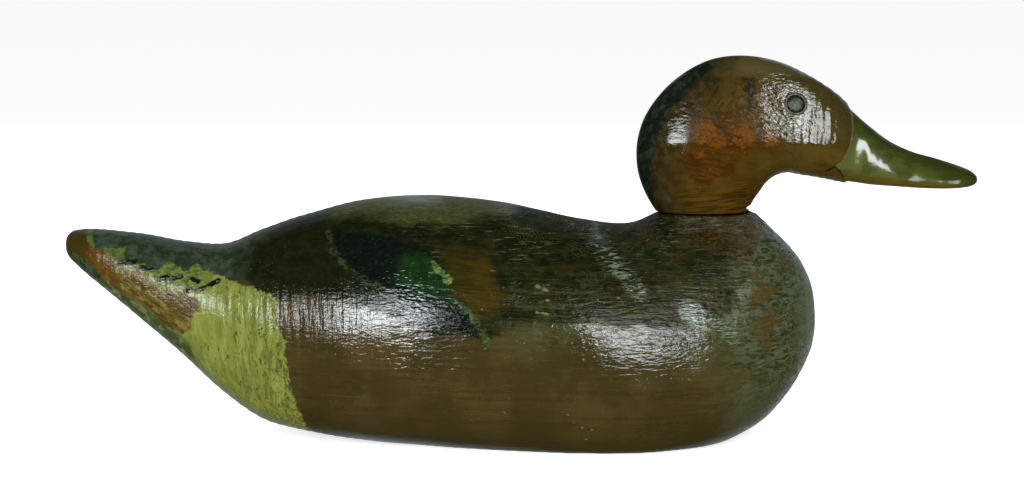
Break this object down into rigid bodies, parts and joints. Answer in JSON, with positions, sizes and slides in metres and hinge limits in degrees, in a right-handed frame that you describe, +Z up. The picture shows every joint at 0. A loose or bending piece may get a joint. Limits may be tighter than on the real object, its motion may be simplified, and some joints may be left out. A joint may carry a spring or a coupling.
{
  "type": "duck decoy",
  "caption": "Carved and hollowed wooden duck decoy with a separate head that turns on its neck dowel, glass eyes, a nailed bottom board with ballast, and a swinging line tie.",
  "frame": {"origin": "on the flat bottom, under the middle of the overall length and width", "axes": "+X from tail to bill, +Y to the bird's left, +Z up"},
  "size_m": [0.36, 0.125, 0.1501],
  "materials": {
    "body_paint": "worn oil paint on carved wood under old gloss varnish",
    "head_paint": "worn oil paint on carved wood under old gloss varnish",
    "board_wood": "dark painted softwood, worn",
    "seal_canvas": "tarred canvas, matt",
    "ballast_lead": "dull grey lead",
    "dowel_wood": "bare hardwood",
    "iron": "rusty iron wire and nails",
    "eye_glass": "old dulled glass, dark pupil",
    "eye_putty": "set putty, varnished over"
  },
  "bodies": {
    "body": {"body_shell": "body_paint", "bottom_board": "board_wood", "bottom_seal": "seal_canvas", "ballast_weight": "ballast_lead", "bottom_nail_01": "iron", "bottom_nail_02": "iron", "bottom_nail_03": "iron", "bottom_nail_04": "iron", "bottom_nail_05": "iron", "bottom_nail_06": "iron", "bottom_nail_07": "iron", "bottom_nail_08": "iron", "bottom_nail_09": "iron", "bottom_nail_10": "iron", "ballast_nail_01": "iron", "ballast_nail_02": "iron", "ballast_nail_03": "iron", "ballast_nail_04": "iron", "line_tie_staple": "iron"},
    "head": {"head": "head_paint", "neck_dowel": "dowel_wood", "neck_screw": "iron", "neck_washer": "iron", "eye_left": "eye_glass", "eye_right": "eye_glass", "eye_putty_left": "eye_putty", "eye_putty_right": "eye_putty", "eye_wire_left": "iron", "eye_wire_right": "iron"},
    "line_ring": {"line_tie_ring": "iron"}
  },
  "joints": [
    {"name": "head_swivel", "type": "hinge", "parent": "body", "child": "head", "pos_m": [0.0717, 0, 0.0888], "axis": [0, 0, 1], "range_deg": [-60, 60]},
    {"name": "line_ring_swing", "type": "hinge", "parent": "body", "child": "line_ring", "pos_m": [0.05, 0, 0.0036], "axis": [0, 1, 0], "range_deg": [0, 100]}
  ]
}
